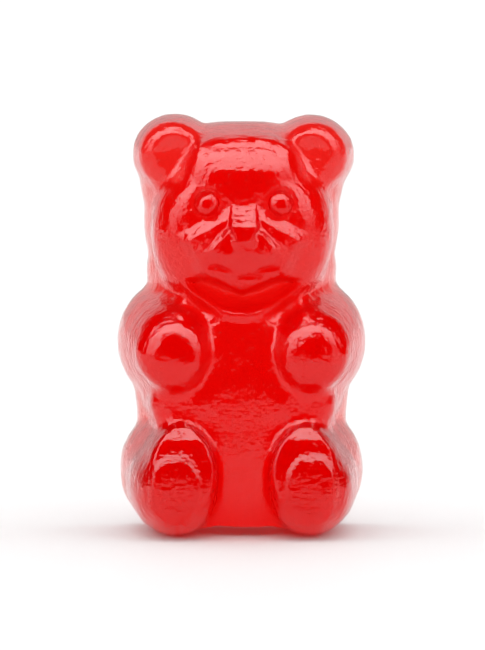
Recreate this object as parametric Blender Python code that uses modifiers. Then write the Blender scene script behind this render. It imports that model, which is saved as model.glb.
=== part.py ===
"""Gummy bear: one solid piece of moulded fruit jelly, standing on its feet and facing -Y.

A starch mould gives it its form. Every limb is a lobe with a domed front and a wall that
widens towards the flat back, where the mould was open. The lobes run into each other in
fillets, and the face, the ears, the chest and the soles are pressed into the front.
"""

import math
from collections import namedtuple

import bmesh
import bpy
import numpy as np
from mathutils import Vector

# Driving dimensions. Lengths in this script are millimetres until to_size at the end.
HEIGHT = 21.6  # from the feet to the top of the higher ear
REACH = 9.2  # from the flat back to the front of the soles
BACK = REACH / 2  # y of the flat back, so that the origin lies midway between back and soles
METRES = 0.001

# How a lobe is made and joined
RUN_OUT = 2.0  # how far a lobe runs on behind the back before it is cut off
CAP_START = 0.8  # share of the ball's rear half that is wall, and the rest closes the end
WALL_CURVE = 1.7
SEGMENTS = 96
RINGS = 64
BODY_VOXEL = 0.2
BODY_SOFTENING = 10  # smoothing passes, which make the wide fillets between the limbs
DETAIL_VOXEL = 0.13
DETAIL_SOFTENING = 9  # and the narrow ones round forehead and muzzle
PRESS_SOFTENING = 2
FACE_SOFTENING = 1
TRIANGLES = 9200

JELLY_RED = (0.75, 0.004, 0.006, 1.0)
JELLY_ROUGHNESS = 0.2

# front and back are ellipses (x, z, half-width, half-height): where the dome starts, and at the
# back plane. reach is how far the lobe stands out from the back, dome how much of that is dome.
# A fullness of 2 is round, and more is flatter in front with a tighter shoulder. An edge of 2 turns
# smoothly into the wall, and 1 meets it in a corner.
# lean is how far the dome's tip stands off its middle, and a squareness over 2 squares its outline.
Lobe = namedtuple(
    "Lobe", "front back reach dome fullness edge lean squareness", defaults=((0, 0), 2)
)

TORSO = Lobe((0, 6.4, 3.5, 7.3), (0, 7.2, 5.65, 6.9), 7.2, 2.8, 2.5, 2.5, (0, -0.4))
SEAT = Lobe((0, 2.8, 4.2, 2.6), (0, 2.8, 4.8, 2.6), 5.9, 1.2, 3.4, 3.4)
BELLY = Lobe((0, 6.0, 3.6, 3.7), (0, 5.6, 4.4, 3.8), 7.3, 1.6, 4.0, 2.6)
WAIST = Lobe((0, 7.3, 4.7, 1.7), (0, 7.4, 5.2, 1.8), 6.6, 2.0, 4.5, 2.6)
HIP = Lobe((3.0, 7.0, 1.9, 1.6), (3.4, 7.2, 2.0, 1.8), 7.25, 2.0, 3.6, 2.6)
SHOULDERS = Lobe((0, 11.2, 3.4, 1.3), (0, 12.2, 5.0, 3.0), 5.4, 1.3, 2.4, 2.4)
NECK = Lobe((0, 13.2, 4.2, 1.6), (0, 13.5, 5.05, 2.7), 5.0, 1.2, 2.4, 2.4)
HEAD = Lobe((0, 15.9, 4.75, 4.4), (0, 16.1, 5.15, 4.95), 7.1, 4.7, 3.6, 3.2, (0, -0.7), 2.25)
JAW = Lobe((0, 14.4, 2.8, 1.9), (0, 14.4, 3.2, 2.1), 7.6, 2.4, 4.0, 4.0)
TEMPLE = Lobe((3.3, 17.8, 1.2, 1.5), (3.95, 18.0, 1.4, 2.0), 4.2, 1.0, 2.4, 2.4)
LEFT_EAR = Lobe((-3.6, 19.6, 1.7, 1.7), (-3.5, 19.5, 2.25, 2.15), 5.0, 1.0, 2.0, 1.0, (0.15, 0))
RIGHT_EAR = Lobe((3.65, 19.55, 1.7, 1.7), (3.65, 19.45, 2.3, 2.15), 5.0, 1.0, 2.0, 1.0, (-0.15, 0))
ARM = Lobe((3.65, 9.7, 1.95, 2.1), (3.75, 9.7, 2.8, 3.2), 8.4, 1.9, 2.6, 2.1, (-0.2, -0.55))
LEG = Lobe((3.45, 3.3, 2.05, 2.75), (3.6, 3.3, 2.8, 3.0), 9.4, 4.5, 4.0, 4.0, (-0.4, 0), 1.8)
FOOT = Lobe((3.65, 2.6, 2.5, 2.75), (3.7, 2.85, 2.75, 2.95), 9.1, 7.8, 4.4, 3.1, (-0.3, 0), 2.0)
BODY = (TORSO, SEAT, BELLY, WAIST, SHOULDERS, NECK, HEAD, JAW, LEFT_EAR, RIGHT_EAR)
ON_BOTH_SIDES = (TEMPLE, ARM, HIP, LEG, FOOT)

FOREHEAD = Lobe((0, 17, 3.1, 3.5), (0, 17, 3.9, 4.25), 7.1, 1.5, 2.2, 1.2, (0, 0), 3.2)
MUZZLE = Lobe((0, 14.3, 2.0, 1.8), (0, 14.3, 2.2, 2.0), 7.75, 1.2, 2.3, 2.3)

# The bottom between the feet is a little higher than they are.
LIFT = {"height": 0.5, "half_width": 2.9, "edge": 1.5}

# What is pressed into the front, beyond this depth
PRESSED_BEYOND = 3.6
EAR_CUP = {"x": 3.5, "z": 19.5, "size": 1.2, "depth": 0.5, "lean": 0.3}
BROW = {"z": 18.85, "slope": 0.16, "half_width": 2.4, "beyond": 5.0}
COLLAR = {"z": 11.45, "curve": 0.16, "half_width": 3.2, "lip": 0.2, "width": 0.3}
SHOULDER_KNOB = {"x": 3.0, "z": 11.95, "size": 0.75, "height": 0.35}
THROAT = {"slope": 1.8, "most": 1.5}
CHIN = {"z": 12.55, "slope": 0.5, "half_width": 1.5}
SHIN = (
    (0, 8.84), (1.5, 8.95), (2.6, 8.98), (3.4, 8.93), (4.3, 8.75), (5.2, 8.46), (5.95, 7.9), (6.25, 7.5)
)
LEG_INSIDE = 1.2
SOLE = {"x": 3.48, "z": 2.5, "half_width": 1.28, "half_height": 1.8, "height": 0.22, "edge": 0.17}
SOLE_SQUARENESS = 2.5

# The face, x from its middle
FACE_MIDDLE = 0.04
EYE = {"x": 1.9, "z": 17.2, "moat": 0.13, "moat_width": 0.15}
EYEBALL = {"radius": 0.66, "height": 0.5, "pupil": 0.93}
FOLD = {"x": 1.78, "z": 16.2, "turn": math.radians(29), "width": 0.56, "height": 0.34, "length": 1.6}
WHISKER = {"x": 1.3, "z": 15.4, "turn": math.radians(48), "width": 0.26, "height": 0.2, "length": 0.8}
BRIDGE = {"top": 16.95, "slope": 0.92, "half_width": 0.62}
NOSE = {"top": 16.05, "bottom": 15.32, "point": 0.32, "reach": 8.26, "side": 2.6, "lean": 0.22}
UPPER_LIP = {"reach": 8.27, "half_width": 0.45, "side": 1.2, "slope": 0.2, "bottom": 14.3}
MOUTH = ((-1.24, 13.74, 0.64, -0.25), (1.24, 13.7, 0.68, 0.15), (0.3, 13.3, 0.68, 0))
LEDGE = {"slope": 0.8, "height": 0.26, "above": 0.08}
MELT = 0.12  # how softly one pressed shape grows out of another


def clear_scene():
    for item in list(bpy.data.objects):
        bpy.data.objects.remove(item, do_unlink=True)
    for group in list(bpy.data.collections):
        bpy.data.collections.remove(group)


def new_collection(name):
    group = bpy.data.collections.new(name)
    bpy.context.scene.collection.children.link(group)
    return group


def mirrored(lobe):
    """The same lobe on the bear's other side."""
    other_side = [(-x, z, wide, high) for x, z, wide, high in (lobe.front, lobe.back)]
    lean = (-lobe.lean[0], lobe.lean[1])
    return lobe._replace(front=other_side[0], back=other_side[1], lean=lean)


def unit_sphere():
    """The ball that every lobe is shaped from, and where its points are."""
    ball = bpy.data.meshes.new("ball")
    bm = bmesh.new()
    bmesh.ops.create_uvsphere(bm, u_segments=SEGMENTS, v_segments=RINGS, radius=1.0)
    bm.to_mesh(ball)
    bm.free()
    return ball, coordinates(ball)


def coordinates(mesh):
    points = np.empty(len(mesh.vertices) * 3, np.float32)
    mesh.vertices.foreach_get("co", points)
    return points.reshape(-1, 3).astype(float)


def move_to(mesh, points):
    mesh.vertices.foreach_set("co", points.astype(np.float32).ravel())
    mesh.update()


def shaped(points, lobe):
    """The ball's points on this lobe: its front half is the dome, its rear half the wall."""
    ring = np.minimum(np.hypot(points[:, 0], points[:, 1]), 1)
    angle = np.arctan2(points[:, 1], points[:, 0])
    in_front = points[:, 2] >= 0
    rise = np.where(in_front, np.sqrt(1 - ring**2) ** (2 / lobe.edge), 0)
    wall = lobe.reach - lobe.dome
    along = np.clip(-points[:, 2] / CAP_START, 0, 1)
    depth = np.where(in_front, wall + lobe.dome * rise, wall - (wall + RUN_OUT) * along)
    cap = np.sqrt(np.clip((1 + points[:, 2]) / (1 - CAP_START), 0, 1))
    spread = np.where(in_front, ring ** (2 / lobe.fullness), cap)
    forward = np.clip(depth / wall, 0, 1) ** WALL_CURVE
    x, z, wide, high = (b + (f - b) * forward for f, b in zip(lobe.front, lobe.back))
    squared = 2 / lobe.squareness
    across = np.sign(np.cos(angle)) * np.abs(np.cos(angle)) ** squared
    up = np.sign(np.sin(angle)) * np.abs(np.sin(angle)) ** squared
    across = x + lobe.lean[0] * rise + spread * wide * across
    up = z + lobe.lean[1] * rise + spread * high * up
    return np.stack([across, BACK - depth, up], axis=1)


def add_modifier(obj, kind, **settings):
    modifier = obj.modifiers.new(kind.title(), kind)
    for name, value in settings.items():
        setattr(modifier, name, value)
    return modifier


def apply_modifiers(obj):
    graph = bpy.context.evaluated_depsgraph_get()
    done = bpy.data.meshes.new_from_object(obj.evaluated_get(graph))
    before = obj.data
    obj.modifiers.clear()
    obj.data = done
    bpy.data.meshes.remove(before)


def grow(bear, lobes, voxel, softening):
    """Adds lobes to the bear, makes one skin of them all and softens the creases between them."""
    ball, points = unit_sphere()
    bm = bmesh.new()
    bm.from_mesh(bear.data)
    for lobe in lobes:
        move_to(ball, shaped(points, lobe))
        bm.from_mesh(ball)
    bm.to_mesh(bear.data)
    bm.free()
    bpy.data.meshes.remove(ball)
    add_modifier(bear, "REMESH", mode="VOXEL", voxel_size=voxel)
    add_modifier(bear, "SMOOTH", factor=0.5, iterations=softening)
    apply_modifiers(bear)


def lift_seat(bear):
    """Raises the bottom a little between the feet, so that the bear stands on them."""
    points = coordinates(bear.data)
    inwards = (LIFT["half_width"] - np.abs(points[:, 0])) / LIFT["edge"]
    gap = LIFT["height"] * np.minimum(inwards, 1)
    points[:, 2] = np.maximum(points[:, 2], gap)
    move_to(bear.data, points)


def dish(x, z, half_width, half_height, steepness=1.4):
    """1 in the middle of an ellipse, falling smoothly to 0 at its edge."""
    return np.clip(1 - (x / half_width) ** 2 - (z / half_height) ** 2, 0, 1) ** steepness


def plateau(x, z, half_width, half_height, edge):
    """1 over an ellipse, falling smoothly to 0 across its edge, which is a share of its size."""
    across, up = np.abs(x / half_width), np.abs(z / half_height)
    away = (across**SOLE_SQUARENESS + up**SOLE_SQUARENESS) ** (1 / SOLE_SQUARENESS)
    beyond = (away - 1) / edge
    step = np.clip((1 - beyond) / 2, 0, 1)
    return step**2 * (3 - 2 * step)


def raised(depth, target, melt):
    """The larger of two depths, with a fillet where they meet."""
    blend = np.clip(0.5 + (target - depth) / (2 * melt), 0, 1)
    return depth + (target - depth) * blend + melt * blend * (1 - blend)


def fold(x, z, side, shape):
    """A step up below a slanting line: 0 above it, 1 below, and fading out past its ends."""
    x, z = side * x - shape["x"], z - shape["z"]
    turn = shape["turn"]
    along = x * math.cos(turn) - z * math.sin(turn)
    above = x * math.sin(turn) + z * math.cos(turn)
    step = np.clip(0.5 - above / shape["width"], 0, 1)
    within = np.clip((shape["length"] - np.abs(along)) / 0.5 + 0.5, 0, 1)
    lower_end = np.clip(1 + (above + 0.5) / 2.5, 0, 1)
    return step * within * lower_end


def collar_drop(x, z):
    """How far the chest's top edge falls away under the chin."""
    past = z - (COLLAR["z"] + COLLAR["curve"] * x**2)
    lip = COLLAR["lip"] * np.exp(-((past / COLLAR["width"]) ** 2))
    throat = np.clip(THROAT["slope"] * (past - COLLAR["width"] / 2), 0, THROAT["most"])
    chin = CHIN["z"] + CHIN["slope"] * np.minimum(np.abs(x), CHIN["half_width"])
    under = np.clip((chin - z) / 0.2, 0, 1) * np.clip((COLLAR["half_width"] - np.abs(x)) / 0.8, 0, 1)
    return (throat - lip) * under


def press_limbs(depth, x, z):
    """Cups the ears, cuts in the neck and raises the flat soles."""
    depth = depth - collar_drop(x, z)
    brow = np.clip((BROW["half_width"] - np.abs(x)) / 0.5, 0, 1) * np.clip(depth - BROW["beyond"], 0, 1)
    depth = depth - BROW["slope"] * np.maximum(z - BROW["z"], 0) * brow
    for side in (-1, 1):
        ear_x, ear_z = x - side * EAR_CUP["x"], z - EAR_CUP["z"]
        cup = dish(ear_x, ear_z, EAR_CUP["size"], EAR_CUP["size"])
        depth = depth - (EAR_CUP["depth"] + EAR_CUP["lean"] * ear_z) * cup
        knob_x, knob_z = x - side * SHOULDER_KNOB["x"], z - SHOULDER_KNOB["z"]
        knob = dish(knob_x, knob_z, SHOULDER_KNOB["size"], SHOULDER_KNOB["size"])
        depth = depth + SHOULDER_KNOB["height"] * knob
        shin = np.interp(z, *zip(*SHIN))
        on_leg = (side * x > LEG_INSIDE) & (z < SHIN[-1][0])
        depth = np.where(on_leg, -raised(-depth, -shin, MELT), depth)
        sole_x, sole_z = x - side * SOLE["x"], z - SOLE["z"]
        sole = plateau(sole_x, sole_z, SOLE["half_width"], SOLE["half_height"], SOLE["edge"])
        depth = depth + SOLE["height"] * sole
    return depth


def nose_depth(x, z):
    """How far out the nose stands: a ramp down from the brow, then a flat triangle, point down."""
    down = np.clip((NOSE["top"] - z) / (NOSE["top"] - NOSE["bottom"]), 0, 1)
    half_width = BRIDGE["half_width"] + (NOSE["point"] - BRIDGE["half_width"]) * down
    past_side = np.maximum(np.abs(x) - half_width, 0)
    past_end = np.maximum(NOSE["bottom"] - z, 0)
    ramp = BRIDGE["slope"] * np.maximum(z - NOSE["top"], 0)
    face = NOSE["lean"] * (np.clip(z, NOSE["bottom"], NOSE["top"]) - NOSE["bottom"])
    return NOSE["reach"] - ramp - face - NOSE["side"] * (past_side + past_end)


def ledge(x, z, half_width):
    """How deep the mouth is cut: a slope up into the face, with the lip over it."""
    taper = np.sqrt(np.clip(1 - (x / half_width) ** 2, 0, 1))
    height = LEDGE["height"] * taper + 1e-6
    inwards = LEDGE["slope"] * np.clip(z, 0, height)
    return inwards * np.clip(1 - (z - height) / LEDGE["above"], 0, 1)


def press_face(depth, x, z):
    """Eyes in their sockets, cheeks, nose and mouth."""
    x = x - FACE_MIDDLE
    for side in (-1, 1):
        eye_x, eye_z = x - side * EYE["x"], z - EYE["z"]
        for crease in (FOLD, WHISKER):
            depth = depth + crease["height"] * fold(x, z, side, crease)
        radius = EYEBALL["radius"]
        away = np.hypot(eye_x, eye_z) / radius
        depth = depth - EYE["moat"] * np.exp(-(((away - 1.05) / EYE["moat_width"]) ** 2))
        ball = np.minimum(np.sqrt(np.clip(1 - away**2, 0, 1)), EYEBALL["pupil"])
        depth = depth + EYEBALL["height"] * ball
    for ledge_x, ledge_z, half_width, slant in MOUTH:
        across = x - ledge_x
        depth = depth - ledge(across, z - ledge_z - slant * across, half_width)
    lip = UPPER_LIP["reach"] - UPPER_LIP["side"] * np.maximum(np.abs(x) - UPPER_LIP["half_width"], 0)
    lip = lip - UPPER_LIP["slope"] * (NOSE["bottom"] - z)
    under_nose = (z > UPPER_LIP["bottom"]) & (z < NOSE["bottom"]) & (np.abs(x) < 1.0)
    depth = np.where(under_nose, raised(depth, lip, MELT / 2), depth)
    in_face = (z < BRIDGE["top"] + 0.5) & (np.abs(x) < 1.4)
    return np.where(in_face, raised(depth, nose_depth(x, z), MELT), depth)


def press(bear, shape, softening):
    """Moves the front of the bear to the depth that shape gives for each point."""
    points = coordinates(bear.data)
    depth = BACK - points[:, 1]
    pressed = shape(depth, points[:, 0], points[:, 2])
    points[:, 1] = BACK - np.where(depth > PRESSED_BEYOND, pressed, depth)
    move_to(bear.data, points)
    add_modifier(bear, "SMOOTH", factor=0.5, iterations=softening)
    apply_modifiers(bear)


def to_size(bear):
    """Scales the bear so that what will stay of it has the height stated above, now in metres."""
    top = max(vert.co.z for vert in bear.data.vertices if vert.co.y <= BACK)
    for vert in bear.data.vertices:
        vert.co *= METRES * HEIGHT / top


def kept_block(group):
    """The space in front of the flat back and above the flat the bear stands on."""
    bpy.ops.mesh.primitive_cube_add(size=1)
    block = bpy.context.active_object
    block.name = "kept_block"
    side = 4 * HEIGHT * METRES
    for vert in block.data.vertices:
        vert.co = vert.co * side + Vector((0, BACK * METRES - side / 2, side / 2))
    for other in list(block.users_collection):
        other.objects.unlink(block)
    group.objects.link(block)
    block.hide_render = True
    block.display_type = "WIRE"
    return block


def jelly():
    material = bpy.data.materials.new("red_jelly")
    material.use_nodes = True
    shader = material.node_tree.nodes["Principled BSDF"]
    shader.inputs["Base Color"].default_value = JELLY_RED
    shader.inputs["Roughness"].default_value = JELLY_ROUGHNESS
    shader.inputs["Metallic"].default_value = 0.0
    material.diffuse_color = JELLY_RED
    return material


def make_bear(group, cutters):
    bear = bpy.data.objects.new("gummy_bear", bpy.data.meshes.new("gummy_bear"))
    group.objects.link(bear)
    limbs = [*ON_BOTH_SIDES, *map(mirrored, ON_BOTH_SIDES)]
    grow(bear, [*BODY, *limbs], BODY_VOXEL, BODY_SOFTENING)
    grow(bear, [FOREHEAD, MUZZLE], DETAIL_VOXEL, DETAIL_SOFTENING)
    lift_seat(bear)
    press(bear, press_limbs, PRESS_SOFTENING)
    press(bear, press_face, FACE_SOFTENING)
    to_size(bear)
    bear.data.materials.append(jelly())
    bear.data.shade_smooth()
    faces = sum(len(polygon.vertices) - 2 for polygon in bear.data.polygons)
    add_modifier(bear, "DECIMATE", ratio=TRIANGLES / faces)
    add_modifier(bear, "BOOLEAN", operation="INTERSECT", object=kept_block(cutters), solver="EXACT")
    return bear


def main():
    clear_scene()
    make_bear(new_collection("gummy_bear"), new_collection("cutters"))


main()
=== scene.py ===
"""A red gummy bear of clear, glossy fruit jelly, standing on a pale table in soft studio light."""

import math
from collections import namedtuple

import bmesh
import bpy
import numpy as np
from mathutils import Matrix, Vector


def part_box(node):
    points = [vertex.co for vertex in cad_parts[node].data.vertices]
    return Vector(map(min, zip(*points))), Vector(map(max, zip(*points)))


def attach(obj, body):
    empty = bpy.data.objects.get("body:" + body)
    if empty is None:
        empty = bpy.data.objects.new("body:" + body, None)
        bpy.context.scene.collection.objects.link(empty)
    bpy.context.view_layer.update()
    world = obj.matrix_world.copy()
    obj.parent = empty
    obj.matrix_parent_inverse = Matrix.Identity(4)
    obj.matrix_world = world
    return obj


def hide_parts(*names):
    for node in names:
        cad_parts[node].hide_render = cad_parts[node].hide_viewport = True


bl_info = {
    "name": "Gummy Bear",
    "version": (1, 0, 0),
    "blender": (4, 5, 0),
    "location": "View3D > Sidebar > Gummy Bear",
    "description": "Moulds a gummy bear of clear jelly and lights it in a small studio",
    "category": "Add Mesh",
}

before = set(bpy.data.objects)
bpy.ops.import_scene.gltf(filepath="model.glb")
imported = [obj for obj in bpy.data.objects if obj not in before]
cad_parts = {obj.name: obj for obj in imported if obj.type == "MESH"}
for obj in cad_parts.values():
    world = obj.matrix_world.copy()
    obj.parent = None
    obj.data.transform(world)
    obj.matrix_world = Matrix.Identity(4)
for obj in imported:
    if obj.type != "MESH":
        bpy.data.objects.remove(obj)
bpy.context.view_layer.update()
CAD_NODE = "gummy_bear"
LOW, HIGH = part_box(CAD_NODE)

# The mould is drawn in millimetres and scaled to the frame's height at the end.
DRAWN_HEIGHT = 21.6
MM = (HIGH.z - LOW.z) / DRAWN_HEIGHT
REACH = 9.2  # from the back to the front of the soles
BACK = REACH / 2
FLAT_BACK = Vector((0, BACK, 0))
FLAT_BASE = Vector((0, 0, 0))

# How a lobe is made and joined
RUN_OUT = 2.0  # how far its wall runs on behind the back plane, where it is cut off
CAP_START = 0.8  # how much of the ball's rear half is wall, the rest closes it
WALL_CURVE = 1.7  # 1 is a straight wall, and more leaves the back squarer
SEGMENTS = 96
RINGS = 64
SMOOTHING = 0.5
BODY_VOXEL = 0.2
BODY_SOFTENING = 10
DETAIL_VOXEL = 0.14
DETAIL_SOFTENING = 9
PRESS_SOFTENING = 2
FACE_SOFTENING = 1

# front and back are ellipses (x, z, half-width, half-height): where the dome starts, and at the
# back plane. reach is how far the lobe stands out from the back, dome how much of that is dome.
# A fullness of 2 is round, and more is flatter in front with a tighter shoulder. An edge of 2 turns
# smoothly into the wall, and 1 meets it in a corner.
# lean is how far the dome's tip stands off its middle. A squareness over 2 squares the outline.
Lobe = namedtuple(
    "Lobe", "front back reach dome fullness edge lean squareness", defaults=((0, 0), 2)
)

TORSO = Lobe((0, 6.4, 3.5, 7.3), (0, 7.2, 5.65, 6.9), 7.2, 2.8, 2.5, 2.5, (0, -0.4))
SEAT = Lobe((0, 2.8, 4.2, 2.6), (0, 2.8, 4.8, 2.6), 5.9, 1.2, 3.4, 3.4)
BELLY = Lobe((0, 6.0, 3.6, 3.7), (0, 5.6, 4.4, 3.8), 7.3, 1.6, 4.0, 2.6)
WAIST = Lobe((0, 7.3, 4.7, 1.7), (0, 7.4, 5.2, 1.8), 6.6, 2.0, 4.5, 2.6)
HIP = Lobe((2.9, 6.8, 2.0, 1.7), (3.4, 7.1, 2.0, 1.9), 7.5, 2.2, 3.2, 2.6)
SHOULDERS = Lobe((0, 11.2, 3.4, 1.3), (0, 12.2, 5.0, 3.0), 5.4, 1.3, 2.4, 2.4)
NECK = Lobe((0, 13.2, 4.2, 1.6), (0, 13.5, 5.05, 2.7), 5.0, 1.2, 2.4, 2.4)
HEAD = Lobe((0, 15.9, 4.75, 4.4), (0, 16.1, 5.15, 4.95), 7.1, 4.7, 3.6, 3.2, (0, -0.7), 2.25)
JAW = Lobe((0, 14.4, 2.8, 1.9), (0, 14.4, 3.2, 2.1), 7.6, 2.4, 4.0, 4.0)
TEMPLE = Lobe((3.3, 17.8, 1.2, 1.5), (3.95, 18.0, 1.4, 2.0), 4.2, 1.0, 2.4, 2.4)
LEFT_EAR = Lobe((-3.6, 19.6, 1.7, 1.7), (-3.5, 19.5, 2.25, 2.15), 5.0, 1.0, 2.0, 1.0, (0.15, 0))
RIGHT_EAR = Lobe((3.65, 19.55, 1.7, 1.7), (3.65, 19.45, 2.3, 2.15), 5.0, 1.0, 2.0, 1.0, (-0.15, 0))
ARM = Lobe((3.65, 9.7, 1.95, 2.1), (3.75, 9.7, 2.8, 3.2), 8.4, 1.9, 2.6, 2.1, (-0.2, -0.55))
LEG = Lobe((3.45, 3.3, 2.05, 2.75), (3.6, 3.3, 2.8, 3.0), 9.4, 4.5, 4.0, 4.0, (-0.4, 0), 1.8)
FOOT = Lobe((3.65, 2.6, 2.5, 2.75), (3.7, 2.85, 2.75, 2.95), 9.1, 7.8, 4.4, 3.1, (-0.3, 0), 2.0)
BODY = (TORSO, SEAT, BELLY, WAIST, SHOULDERS, NECK, HEAD, JAW, LEFT_EAR, RIGHT_EAR)
ON_BOTH_SIDES = (TEMPLE, ARM, HIP, LEG, FOOT)

FOREHEAD = Lobe((0, 17, 3.1, 3.5), (0, 17, 3.9, 4.25), 7.1, 1.5, 2.2, 1.2, (0, 0), 3.2)
MUZZLE = Lobe((0, 14.3, 2.0, 1.8), (0, 14.3, 2.2, 2.0), 7.75, 1.2, 2.3, 2.3)

# The bottom between the feet is a little higher than they are.
LIFT = {"height": 0.5, "half_width": 2.9, "edge": 1.5}

# What is pressed into the front, beyond this depth. An edge is how wide a shape fades out.
PRESSED_BEYOND = 3.6
DISH_STEEPNESS = 1.4
EAR_CUP = {"x": 3.5, "z": 19.5, "size": 1.2, "depth": 0.5, "lean": 0.3}
BROW = {"z": 18.85, "slope": 0.16, "half_width": 2.4, "edge": 0.5, "beyond": 5.0}
COLLAR = {"z": 11.45, "curve": 0.16, "half_width": 3.2, "edge": 0.8, "lip": 0.2, "width": 0.3}
SHOULDER_KNOB = {"x": 3.0, "z": 11.95, "size": 0.75, "height": 0.35}
THROAT = {"slope": 1.8, "most": 1.5}
CHIN = {"z": 12.55, "slope": 0.5, "half_width": 1.5, "edge": 0.2}
# How far the legs stand out at most, from the bottom upwards (z, depth)
SHIN = (
    (0, 8.84),
    (1.5, 8.95),
    (2.6, 8.98),
    (3.4, 8.93),
    (4.3, 8.75),
    (5.2, 8.46),
    (5.95, 7.9),
    (6.25, 7.5),
)
LEG_INSIDE = 1.2
SOLE = {"x": 3.48, "z": 2.5, "half_width": 1.28, "half_height": 1.8, "height": 0.22, "edge": 0.17}
SOLE_SQUARENESS = 2.5

# The face, x from its middle
FACE = {"half_width": 3.4, "bottom": 12.9, "top": 18.7, "beyond": 5.6}
FACE_CUTS = 2
FACE_MIDDLE = 0.04
# The moat's place and width are shares of the eyeball's radius. The flat pupil lies at a share of
# its height.
EYE = {"x": 1.9, "z": 17.2, "moat": 0.13, "moat_at": 1.05, "moat_width": 0.15}
EYEBALL = {"height": 0.5, "pupil": 0.93}
FOLD = {
    "x": 1.78,
    "z": 16.2,
    "turn": math.radians(29),
    "width": 0.56,
    "height": 0.34,
    "length": 1.6,
}
WHISKER = {
    "x": 1.3,
    "z": 15.4,
    "turn": math.radians(48),
    "width": 0.26,
    "height": 0.2,
    "length": 0.8,
}
FOLD_EDGE = 0.5  # how wide a fold fades out past its ends
CHEEK = {"full": 0.5, "edge": 2.5}  # below a fold: full height at first, then falling to nothing
BRIDGE = {"top": 16.95, "slope": 0.92, "half_width": 0.62}
NOSE = {"top": 16.05, "bottom": 15.32, "point": 0.32, "reach": 8.26, "side": 2.6, "lean": 0.22}
NOSE_AREA = {"half_width": 1.4, "above_bridge": 0.5}
UPPER_LIP = {"reach": 8.27, "half_width": 0.45, "side": 1.2, "slope": 0.2, "bottom": 14.3}
LIP_AREA = 1.0  # half the width that the upper lip can take
# Each arc of the smile: its middle (x, z), its half-width and its slant
MOUTH = ((-1.24, 13.74, 0.64, -0.25), (1.24, 13.7, 0.68, 0.15), (0.3, 13.3, 0.68, 0))
LEDGE = {"slope": 0.8, "height": 0.26, "above": 0.08}
MELT = 0.12  # how softly one pressed shape grows out of another

# How uneven the skin came out of the mould: the size of its waves, and how high they are
WAVES = ((1.4, 0.08), (0.5, 0.025))

# The skin's marks: how many there are to a millimetre, and how high they stand. In rough patches
# the ripples and the grain stand higher by extra, and the grain dulls the gloss.
PATCHES = {"fineness": 0.45, "from": 0.35, "to": 0.65}
RIPPLES = {"fineness": 3.4, "height": 0.028, "extra": 0.02}
GRAIN = {"fineness": 6.5, "height": 0.006, "extra": 0.005, "dulling": 0.06}
SPECKS = {"from": 0.66, "to": 0.78, "height": 0.005}
# Streaks run round the walls at one depth, wrinkles lie level across the lower belly and the soles.
STREAKS = {"along": 0.8, "across": 5.0, "height": 0.03}
WRINKLES = {"along": 1.5, "across": 6.5, "height": 0.03, "none_above": 8.5, "full_below": 6.0}
HAZE = {"from": 0.15, "to": 0.03}  # how far in front of the back the haze starts, and is full
JELLY = {"colour": (1.0, 0.92, 0.9, 1.0), "refraction": 1.42}

# The light panels are the upper half of a ring round the camera. Angles are in radians from
# straight in front. A pair named x, y or z says where in that part of the direction something
# starts, and where it is full.
PANEL_EDGES = {"inner": (0.88, 0.98), "outer": (1.6, 1.48), "lower_z": (0.0, 0.1)}
PANEL_LIGHT = {"all": 0.15, "left": 0.15, "left_x": (0.5, -0.5), "top": 0.7, "top_z": (0.1, 0.9)}
PANEL_FALL = {"inside": 0.7, "more": 0.3, "angles": (0.9, 1.4)}
BACKDROP = {"light": 0.9, "edge_y": (0.62, 0.84), "dimmer": 0.4, "middle_y": (0.88, 1.0)}
LIGHT_ON_TABLE = 1.2  # how bright the tent is for what scatters its light
TABLE = {"radius": 6.0, "corners": 128, "white": 0.92, "roughness": 0.6}
AIM_HEIGHT = 10.8
CLIP_START, CLIP_END = 0.01, 50


# ---------------------------------------------------------------- properties


class BearShape(bpy.types.PropertyGroup):
    height: bpy.props.FloatProperty(
        name="Height",
        description="From the feet to the top of the higher ear",
        default=HIGH.z - LOW.z,
        unit="LENGTH",
    )
    unevenness: bpy.props.FloatProperty(
        name="Unevenness",
        description="Height of the shallow waves in the skin, as a share of the usual",
        default=1.0,
        min=0.0,
    )
    eye_radius: bpy.props.FloatProperty(
        name="Eye radius",
        description="Radius of the raised eyeballs",
        default=0.66 * MM,
        unit="LENGTH",
    )


class JellyLook(bpy.types.PropertyGroup):
    tint: bpy.props.FloatVectorProperty(
        name="Tint",
        description="What a metre of jelly would leave of each colour, before density",
        default=(0.9635, 0.06, 0.0),
        size=3,
        min=0.0,
        max=1.0,
        subtype="COLOR",
    )
    density: bpy.props.FloatProperty(
        name="Density",
        description="How strongly the jelly takes up light, per metre",
        default=1000.0,
    )
    gloss: bpy.props.FloatProperty(
        name="Gloss roughness",
        description="Roughness of the shiny moulded front",
        default=0.07,
        subtype="FACTOR",
    )
    back_haze: bpy.props.FloatProperty(
        name="Back haze",
        description="Roughness of the poured back",
        default=0.45,
        subtype="FACTOR",
    )


class StudioLook(bpy.types.PropertyGroup):
    azimuth: bpy.props.FloatProperty(
        name="Azimuth",
        description="Camera's turn round the bear, from straight in front",
        default=math.radians(-0.7),
        subtype="ANGLE",
    )
    elevation: bpy.props.FloatProperty(
        name="Elevation",
        description="Camera's height over the table, as an angle",
        default=math.radians(4.0),
        subtype="ANGLE",
    )
    distance: bpy.props.FloatProperty(
        name="Distance",
        description="From the camera to the bear",
        default=0.26,
        unit="LENGTH",
    )
    view_height: bpy.props.FloatProperty(
        name="View height",
        description="How much the picture takes in from top to bottom, at the bear",
        default=0.03365,
        unit="LENGTH",
    )
    softbox: bpy.props.FloatProperty(
        name="Softboxes",
        description="Brightness of the light panels above and beside the bear",
        default=7.5,
    )


def look(name):
    return getattr(bpy.context.scene, name)


# ---------------------------------------------------------------- shader maths


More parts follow.
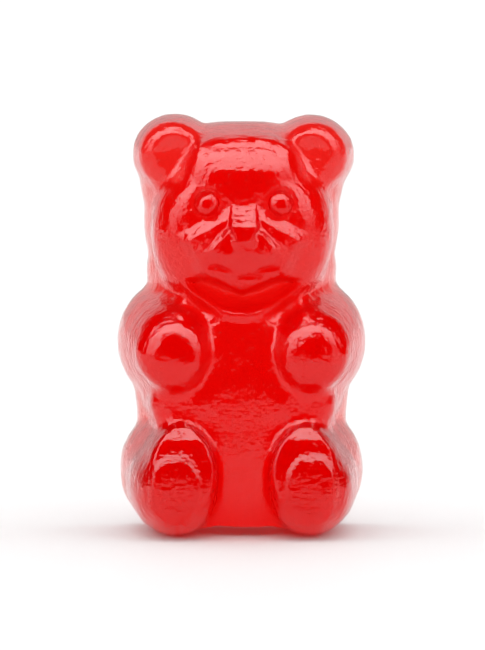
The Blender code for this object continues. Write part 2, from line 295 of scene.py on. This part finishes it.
class Value:
    """A socket in a sum: each operator adds the Math node that works it out."""

    def __init__(self, tree, socket):
        self.tree = tree
        self.socket = socket

    def math(self, operation, *others):
        return self.tree.add("ShaderNodeMath", {"operation": operation}, [self, *others])

    def __add__(self, other):
        return self.math("ADD", other)

    def __rsub__(self, other):
        return self.tree.add("ShaderNodeMath", {"operation": "SUBTRACT"}, [other, self])

    def __mul__(self, other):
        return self.math("MULTIPLY", other)

    def __lt__(self, other):
        return self.math("LESS_THAN", other)

    __radd__ = __add__
    __rmul__ = __mul__

    def largest(self, other):
        return self.math("MAXIMUM", other)

    def ramp(self, start, end):
        """0 at start, 1 at end, smooth between."""
        settings = {"interpolation_type": "SMOOTHSTEP"}
        return self.tree.add("ShaderNodeMapRange", settings, [self, start, end, 0.0, 1.0])


class Tree:
    """A node tree that is filled by one method."""

    def __init__(self, nodes_of):
        nodes_of.use_nodes = True
        self.nodes = nodes_of.node_tree.nodes
        self.links = nodes_of.node_tree.links
        self.nodes.clear()

    def make(self, kind, settings=None, inputs=()):
        """A node of this kind: its settings first, then its sockets, by place or by name."""
        node = self.nodes.new(kind)
        for name, value in (settings or {}).items():
            setattr(node, name, value)
        pairs = inputs.items() if isinstance(inputs, dict) else enumerate(inputs)
        for key, value in pairs:
            if isinstance(value, Value):
                self.links.new(value.socket, node.inputs[key])
            elif value is not None:
                node.inputs[key].default_value = value
        return node

    def add(self, kind, settings=None, inputs=(), output=0):
        return Value(self, self.make(kind, settings, inputs).outputs[output])

    def parts(self, vector):
        split = self.make("ShaderNodeSeparateXYZ", inputs=[vector])
        return [Value(self, socket) for socket in split.outputs]

    def join(self, x, y, z):
        return self.add("ShaderNodeCombineXYZ", inputs=[x, y, z])

    def noise(self, place, scale, detail):
        """Soft noise from 0 to 1, scale is how many grains lie in one unit of place."""
        inputs = {"Vector": place, "Scale": scale, "Detail": detail}
        return self.add("ShaderNodeTexNoise", inputs=inputs)


def jelly():
    """Clear red jelly: light passes through and loses all but its red on the way."""
    settings = look("bear_jelly")
    material = bpy.data.materials.new("red_jelly")
    tree = Tree(material)
    place = tree.add("ShaderNodeTexCoord", output="Object")
    x, y, z = tree.parts(place)
    back = (y * (1 / MM)).ramp(BACK - HAZE["from"], BACK - HAZE["to"])
    patches = tree.noise(place, PATCHES["fineness"] / MM, 1.0).ramp(PATCHES["from"], PATCHES["to"])
    grain = tree.noise(place, GRAIN["fineness"] / MM, 0.0)
    ripples = tree.noise(place, RIPPLES["fineness"] / MM, 1.0)
    flow = tree.join(x * STREAKS["along"], y * STREAKS["across"], z * STREAKS["along"])
    streaks = tree.noise(flow, 1 / MM, 1.0)
    level = tree.join(x * WRINKLES["along"], y * WRINKLES["along"], z * WRINKLES["across"])
    low_down = (z * (1 / MM)).ramp(WRINKLES["none_above"], WRINKLES["full_below"])
    wrinkles = tree.noise(level, 1 / MM, 1.0) * low_down
    specks = grain.ramp(SPECKS["from"], SPECKS["to"])
    rippled = (RIPPLES["height"] + RIPPLES["extra"] * patches) * ripples
    grained = (GRAIN["height"] + GRAIN["extra"] * patches) * grain
    height = rippled + grained + STREAKS["height"] * streaks + WRINKLES["height"] * wrinkles
    height = height + SPECKS["height"] * specks
    bump = tree.add("ShaderNodeBump", inputs={"Strength": 1.0, "Distance": MM, "Height": height})
    gloss = settings.gloss + GRAIN["dulling"] * patches * grain
    roughness = gloss + back * (settings.back_haze - gloss)
    surface = tree.add(
        "ShaderNodeBsdfPrincipled",
        inputs={
            "Base Color": JELLY["colour"],
            "Roughness": roughness,
            "IOR": JELLY["refraction"],
            "Transmission Weight": 1.0,
            "Normal": bump,
        },
    )
    inside = tree.add(
        "ShaderNodeVolumeAbsorption",
        inputs={"Color": (*settings.tint, 1.0), "Density": settings.density},
    )
    tree.make("ShaderNodeOutputMaterial", inputs={"Surface": surface, "Volume": inside})
    return material


# ---------------------------------------------------------------- the bear


def mirrored(lobe):
    """The same lobe on the bear's other side."""
    other_side = [(-x, z, wide, high) for x, z, wide, high in (lobe.front, lobe.back)]
    lean = (-lobe.lean[0], lobe.lean[1])
    return lobe._replace(front=other_side[0], back=other_side[1], lean=lean)


def unit_sphere():
    """The ball that every lobe is shaped from, and where its points are."""
    ball = bpy.data.meshes.new("ball")
    bm = bmesh.new()
    bmesh.ops.create_uvsphere(bm, u_segments=SEGMENTS, v_segments=RINGS, radius=1.0)
    bm.to_mesh(ball)
    bm.free()
    return ball, coordinates(ball)


def coordinates(mesh):
    points = np.empty(len(mesh.vertices) * 3, np.float32)
    mesh.vertices.foreach_get("co", points)
    return points.reshape(-1, 3).astype(float)


def move_to(mesh, points):
    mesh.vertices.foreach_set("co", points.astype(np.float32).ravel())
    mesh.update()


def shaped(points, lobe):
    """The ball's points on this lobe: its front half is the dome, its rear half the wall."""
    ring = np.minimum(np.hypot(points[:, 0], points[:, 1]), 1)
    angle = np.arctan2(points[:, 1], points[:, 0])
    in_front = points[:, 2] >= 0
    rise = np.where(in_front, np.sqrt(1 - ring**2) ** (2 / lobe.edge), 0)
    wall = lobe.reach - lobe.dome
    along = np.clip(-points[:, 2] / CAP_START, 0, 1)
    depth = np.where(in_front, wall + lobe.dome * rise, wall - (wall + RUN_OUT) * along)
    cap = np.sqrt(np.clip((1 + points[:, 2]) / (1 - CAP_START), 0, 1))
    spread = np.where(in_front, ring ** (2 / lobe.fullness), cap)
    forward = np.clip(depth / wall, 0, 1) ** WALL_CURVE
    x, z, wide, high = (b + (f - b) * forward for f, b in zip(lobe.front, lobe.back))
    squared = 2 / lobe.squareness
    across = np.sign(np.cos(angle)) * np.abs(np.cos(angle)) ** squared
    up = np.sign(np.sin(angle)) * np.abs(np.sin(angle)) ** squared
    across = x + lobe.lean[0] * rise + spread * wide * across
    up = z + lobe.lean[1] * rise + spread * high * up
    return np.stack([across, BACK - depth, up], axis=1)


def add_modifier(obj, kind, **settings):
    modifier = obj.modifiers.new(kind.title(), kind)
    for name, value in settings.items():
        setattr(modifier, name, value)
    return modifier


def apply_modifiers(obj):
    graph = bpy.context.evaluated_depsgraph_get()
    done = bpy.data.meshes.new_from_object(obj.evaluated_get(graph))
    before = obj.data
    obj.modifiers.clear()
    obj.data = done
    bpy.data.meshes.remove(before)


def cut_flat(bm, point, outwards):
    """Cuts off what lies beyond a plane and closes the cut."""
    everything = bm.verts[:] + bm.edges[:] + bm.faces[:]
    cut = bmesh.ops.bisect_plane(
        bm, geom=everything, plane_co=point, plane_no=outwards, clear_outer=True
    )
    rim = [item for item in cut["geom_cut"] if isinstance(item, bmesh.types.BMEdge)]
    bmesh.ops.triangle_fill(bm, edges=rim, use_beauty=False)


def grow(bear, lobes, voxel, softening, flat=False):
    """Adds lobes to the bear, makes one skin of them all and softens the creases between them."""
    ball, points = unit_sphere()
    bm = bmesh.new()
    bm.from_mesh(bear.data)
    for lobe in lobes:
        move_to(ball, shaped(points, lobe))
        bm.from_mesh(ball)
    bm.to_mesh(bear.data)
    bm.free()
    add_modifier(bear, "REMESH", mode="VOXEL", voxel_size=voxel)
    if flat:
        apply_modifiers(bear)
        bm = bmesh.new()
        bm.from_mesh(bear.data)
        cut_flat(bm, FLAT_BACK, Vector((0, 1, 0)))
        cut_flat(bm, FLAT_BASE, Vector((0, 0, -1)))
        bm.to_mesh(bear.data)
        bm.free()
        add_modifier(bear, "REMESH", mode="VOXEL", voxel_size=voxel)
    add_modifier(bear, "SMOOTH", factor=SMOOTHING, iterations=softening)
    apply_modifiers(bear)


def lift_seat(bear):
    """Raises the bottom a little between the feet, so that the bear stands on them."""
    points = coordinates(bear.data)
    inwards = (LIFT["half_width"] - np.abs(points[:, 0])) / LIFT["edge"]
    gap = LIFT["height"] * np.clip(inwards, 0, 1)
    points[:, 2] = np.where(gap > 0, np.maximum(points[:, 2], gap), points[:, 2])
    move_to(bear.data, points)


def dish(x, z, size):
    """1 in the middle of a circle, falling smoothly to 0 at its edge."""
    return np.clip(1 - (x / size) ** 2 - (z / size) ** 2, 0, 1) ** DISH_STEEPNESS


def plateau(x, z, half_width, half_height, edge):
    """1 over an ellipse, falling smoothly to 0 across its edge, which is a share of its size."""
    across, up = np.abs(x / half_width), np.abs(z / half_height)
    away = (across**SOLE_SQUARENESS + up**SOLE_SQUARENESS) ** (1 / SOLE_SQUARENESS)
    beyond = (away - 1) / edge
    step = np.clip((1 - beyond) / 2, 0, 1)
    return step**2 * (3 - 2 * step)


def raised(depth, target, melt):
    """The larger of two depths, with a fillet where they meet."""
    blend = np.clip(0.5 + (target - depth) / (2 * melt), 0, 1)
    return depth + (target - depth) * blend + melt * blend * (1 - blend)


def fold(x, z, side, shape):
    """A step up below a slanting line: 0 above it, 1 below, fading out past its ends and down."""
    x, z = side * x - shape["x"], z - shape["z"]
    turn = shape["turn"]
    along = x * math.cos(turn) - z * math.sin(turn)
    above = x * math.sin(turn) + z * math.cos(turn)
    step = np.clip(0.5 - above / shape["width"], 0, 1)
    within = np.clip((shape["length"] - np.abs(along)) / FOLD_EDGE + 0.5, 0, 1)
    lower_end = np.clip(1 + (above + CHEEK["full"]) / CHEEK["edge"], 0, 1)
    return step * within * lower_end


def collar_drop(x, z):
    """How far the chest's top edge falls away under the chin."""
    past = z - (COLLAR["z"] + COLLAR["curve"] * x**2)
    lip = COLLAR["lip"] * np.exp(-((past / COLLAR["width"]) ** 2))
    throat = np.clip(THROAT["slope"] * (past - COLLAR["width"] / 2), 0, THROAT["most"])
    chin = CHIN["z"] + CHIN["slope"] * np.minimum(np.abs(x), CHIN["half_width"])
    under = np.clip((chin - z) / CHIN["edge"], 0, 1)
    under = under * np.clip((COLLAR["half_width"] - np.abs(x)) / COLLAR["edge"], 0, 1)
    return (throat - lip) * under


def press_limbs(depth, x, z):
    """Cups the ears, cuts in the neck and raises the flat soles."""
    depth = depth - collar_drop(x, z)
    brow = np.clip((BROW["half_width"] - np.abs(x)) / BROW["edge"], 0, 1)
    brow = brow * np.clip(depth - BROW["beyond"], 0, 1)
    depth = depth - BROW["slope"] * np.maximum(z - BROW["z"], 0) * brow
    for side in (-1, 1):
        ear_x, ear_z = x - side * EAR_CUP["x"], z - EAR_CUP["z"]
        cup = dish(ear_x, ear_z, EAR_CUP["size"])
        depth = depth - (EAR_CUP["depth"] + EAR_CUP["lean"] * ear_z) * cup
        knob_x, knob_z = x - side * SHOULDER_KNOB["x"], z - SHOULDER_KNOB["z"]
        knob = dish(knob_x, knob_z, SHOULDER_KNOB["size"])
        depth = depth + SHOULDER_KNOB["height"] * knob
        shin = np.interp(z, *zip(*SHIN))
        on_leg = (side * x > LEG_INSIDE) & (z < SHIN[-1][0])
        depth = np.where(on_leg, -raised(-depth, -shin, MELT), depth)
        sole_x, sole_z = x - side * SOLE["x"], z - SOLE["z"]
        sole = plateau(sole_x, sole_z, SOLE["half_width"], SOLE["half_height"], SOLE["edge"])
        depth = depth + SOLE["height"] * sole
    return depth


def nose_depth(x, z):
    """How far out the nose stands: a ramp down from the brow, then a flat triangle, point down."""
    down = np.clip((NOSE["top"] - z) / (NOSE["top"] - NOSE["bottom"]), 0, 1)
    half_width = BRIDGE["half_width"] + (NOSE["point"] - BRIDGE["half_width"]) * down
    past_side = np.maximum(np.abs(x) - half_width, 0)
    past_end = np.maximum(NOSE["bottom"] - z, 0)
    ramp = BRIDGE["slope"] * np.maximum(z - NOSE["top"], 0)
    face = NOSE["lean"] * (np.clip(z, NOSE["bottom"], NOSE["top"]) - NOSE["bottom"])
    return NOSE["reach"] - ramp - face - NOSE["side"] * (past_side + past_end)


def ledge(x, z, half_width):
    """How deep the mouth is cut: a slope up into the face, with the lip over it."""
    taper = np.sqrt(np.clip(1 - (x / half_width) ** 2, 0, 1))
    height = LEDGE["height"] * taper + 1e-6
    inwards = LEDGE["slope"] * np.clip(z, 0, height)
    return inwards * np.clip(1 - (z - height) / LEDGE["above"], 0, 1)


def press_face(depth, x, z):
    """Eyes in their sockets, cheeks, nose and mouth."""
    x = x - FACE_MIDDLE
    for side in (-1, 1):
        eye_x, eye_z = x - side * EYE["x"], z - EYE["z"]
        for crease in (FOLD, WHISKER):
            depth = depth + crease["height"] * fold(x, z, side, crease)
        radius = look("bear_shape").eye_radius / MM
        away = np.hypot(eye_x, eye_z) / radius
        from_moat = (away - EYE["moat_at"]) / EYE["moat_width"]
        depth = depth - EYE["moat"] * np.exp(-(from_moat**2))
        ball = np.minimum(np.sqrt(np.clip(1 - away**2, 0, 1)), EYEBALL["pupil"])
        depth = depth + EYEBALL["height"] * ball
    for ledge_x, ledge_z, half_width, slant in MOUTH:
        across = x - ledge_x
        depth = depth - ledge(across, z - ledge_z - slant * across, half_width)
    past_lip = np.maximum(np.abs(x) - UPPER_LIP["half_width"], 0)
    lip = UPPER_LIP["reach"] - UPPER_LIP["side"] * past_lip
    lip = lip - UPPER_LIP["slope"] * (NOSE["bottom"] - z)
    under_nose = (z > UPPER_LIP["bottom"]) & (z < NOSE["bottom"]) & (np.abs(x) < LIP_AREA)
    depth = np.where(under_nose, raised(depth, lip, MELT / 2), depth)
    top = BRIDGE["top"] + NOSE_AREA["above_bridge"]
    round_nose = (z < top) & (np.abs(x) < NOSE_AREA["half_width"])
    return np.where(round_nose, raised(depth, nose_depth(x, z), MELT), depth)


def press(bear, shape, softening):
    """Moves the front of the bear to the depth that shape gives for each point."""
    points = coordinates(bear.data)
    depth = BACK - points[:, 1]
    pressed = shape(depth, points[:, 0], points[:, 2])
    points[:, 1] = BACK - np.where(depth > PRESSED_BEYOND, pressed, depth)
    move_to(bear.data, points)
    add_modifier(bear, "SMOOTH", factor=SMOOTHING, iterations=softening)
    apply_modifiers(bear)


def roughen(bear):
    """Gives the whole skin the shallow waves of a starch mould."""
    unevenness = look("bear_shape").unevenness
    for size, height in WAVES:
        waves = bpy.data.textures.new("mould_waves", "CLOUDS")
        waves.noise_scale = size
        add_modifier(bear, "DISPLACE", texture=waves, strength=height * unevenness)
    apply_modifiers(bear)


def refine_face(bear):
    """Smaller facets over the face, for its fine features."""
    bm = bmesh.new()
    bm.from_mesh(bear.data)
    edges = [
        edge
        for edge in bm.edges
        if all(
            BACK - vert.co.y > FACE["beyond"]
            and FACE["bottom"] < vert.co.z < FACE["top"]
            and abs(vert.co.x) < FACE["half_width"]
            for vert in edge.verts
        )
    ]
    bmesh.ops.subdivide_edges(bm, edges=edges, cuts=FACE_CUTS, use_grid_fill=True)
    bm.to_mesh(bear.data)
    bm.free()


class GUMMY_OT_bear(bpy.types.Operator):
    """Mould the bear in one piece of jelly"""

    bl_idname = "gummy.bear"
    bl_label = "Bear"

    def execute(self, context):
        bear = bpy.data.objects.new("jelly_bear", bpy.data.meshes.new("jelly_bear"))
        context.scene.collection.objects.link(bear)
        limbs = [*ON_BOTH_SIDES, *map(mirrored, ON_BOTH_SIDES)]
        grow(bear, [*BODY, *limbs], BODY_VOXEL, BODY_SOFTENING)
        grow(bear, [FOREHEAD, MUZZLE], DETAIL_VOXEL, DETAIL_SOFTENING, flat=True)
        lift_seat(bear)
        press(bear, press_limbs, PRESS_SOFTENING)
        refine_face(bear)
        press(bear, press_face, FACE_SOFTENING)
        roughen(bear)
        for vert in bear.data.vertices:
            vert.co *= look("bear_shape").height / DRAWN_HEIGHT
        bear.data.materials.append(jelly())
        bear.data.shade_smooth()
        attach(bear, "root")
        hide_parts(CAD_NODE)
        return {"FINISHED"}


# ---------------------------------------------------------------- the studio


def light_tent():
    """White all round for what is seen through the jelly, and light panels for what it mirrors."""
    world = bpy.data.worlds.new("light_tent")
    tree = Tree(world)
    direction = tree.add("ShaderNodeTexCoord", output="Generated")
    x, y, z = tree.parts(direction)
    from_front = (y * -1).math("ARCCOSINE")
    inner_edge = from_front.ramp(*PANEL_EDGES["inner"])
    outer_edge = from_front.ramp(*PANEL_EDGES["outer"])
    brightness = PANEL_LIGHT["all"] + PANEL_LIGHT["left"] * x.ramp(*PANEL_LIGHT["left_x"])
    brightness = brightness + PANEL_LIGHT["top"] * z.ramp(*PANEL_LIGHT["top_z"])
    panels = inner_edge * outer_edge * z.ramp(*PANEL_EDGES["lower_z"]) * brightness
    outwards = PANEL_FALL["inside"] + PANEL_FALL["more"] * from_front.ramp(*PANEL_FALL["angles"])
    panels = panels * outwards * look("bear_studio").softbox
    dimming = BACKDROP["dimmer"] * y.ramp(*BACKDROP["middle_y"])
    backdrop = y.ramp(*BACKDROP["edge_y"]) * (BACKDROP["light"] - dimming)
    mirrored_light = panels.largest(backdrop)
    rays = tree.make("ShaderNodeLightPath")
    white = Value(tree, rays.outputs["Is Camera Ray"])
    white = white.largest(Value(tree, rays.outputs["Is Transmission Ray"]))
    white = white.largest(Value(tree, rays.outputs["Is Diffuse Ray"]) * LIGHT_ON_TABLE)
    strength = mirrored_light * (white < 0.5) + white
    background = tree.add(
        "ShaderNodeBackground", inputs={"Color": (1, 1, 1, 1), "Strength": strength}
    )
    tree.make("ShaderNodeOutputWorld", inputs={"Surface": background})
    world.cycles.sampling_method = "NONE"
    return world


def table():
    bpy.ops.mesh.primitive_circle_add(
        vertices=TABLE["corners"], radius=TABLE["radius"], fill_type="NGON"
    )
    floor = bpy.context.active_object
    floor.name = "table"
    material = bpy.data.materials.new("white_table")
    tree = Tree(material)
    white = TABLE["white"]
    surface = tree.add(
        "ShaderNodeBsdfPrincipled",
        inputs={"Base Color": (white, white, white, 1), "Roughness": TABLE["roughness"]},
    )
    tree.make("ShaderNodeOutputMaterial", inputs={"Surface": surface})
    floor.data.materials.append(material)
    return floor


def camera(context):
    studio = look("bear_studio")
    lens = bpy.data.cameras.new("camera")
    viewer = bpy.data.objects.new("camera", lens)
    context.scene.collection.objects.link(viewer)
    flat = math.cos(studio.elevation)
    across, forward = math.sin(studio.azimuth), math.cos(studio.azimuth)
    towards = Vector((across * flat, -forward * flat, math.sin(studio.elevation)))
    aim = Vector((0, 0, AIM_HEIGHT * MM))
    viewer.location = aim + towards * studio.distance
    viewer.rotation_euler = (-towards).to_track_quat("-Z", "Y").to_euler()
    lens.lens = lens.sensor_width * studio.distance / studio.view_height
    lens.clip_start = CLIP_START
    lens.clip_end = CLIP_END
    context.scene.camera = viewer


class GUMMY_OT_studio(bpy.types.Operator):
    """Set up the table, the light and the camera"""

    bl_idname = "gummy.studio"
    bl_label = "Studio"

    def execute(self, context):
        table()
        context.scene.world = light_tent()
        camera(context)
        context.scene.view_settings.view_transform = "Standard"
        return {"FINISHED"}


# ---------------------------------------------------------------- add-on


class GUMMY_PT_panel(bpy.types.Panel):
    """Lists the bear and the studio"""

    bl_idname = "GUMMY_PT_panel"
    bl_label = "Gummy Bear"
    bl_space_type = "VIEW_3D"
    bl_region_type = "UI"
    bl_category = "Gummy Bear"

    def draw(self, context):
        for group in map(look, GROUPS):
            for name in group.bl_rna.properties.keys():
                if name not in ("rna_type", "name"):
                    self.layout.prop(group, name)
        for operator in OPERATORS:
            self.layout.operator(operator.bl_idname)


GROUPS = {"bear_shape": BearShape, "bear_jelly": JellyLook, "bear_studio": StudioLook}
OPERATORS = (GUMMY_OT_bear, GUMMY_OT_studio)


def register():
    for cls in (*GROUPS.values(), *OPERATORS, GUMMY_PT_panel):
        bpy.utils.register_class(cls)
    for name, group in GROUPS.items():
        setattr(bpy.types.Scene, name, bpy.props.PointerProperty(type=group))


def unregister():
    for name in GROUPS:
        delattr(bpy.types.Scene, name)
    for cls in reversed((*GROUPS.values(), *OPERATORS, GUMMY_PT_panel)):
        bpy.utils.unregister_class(cls)


def main():
    register()
    bpy.ops.gummy.bear()
    bpy.ops.gummy.studio()


if __name__ == "__main__":
    main()
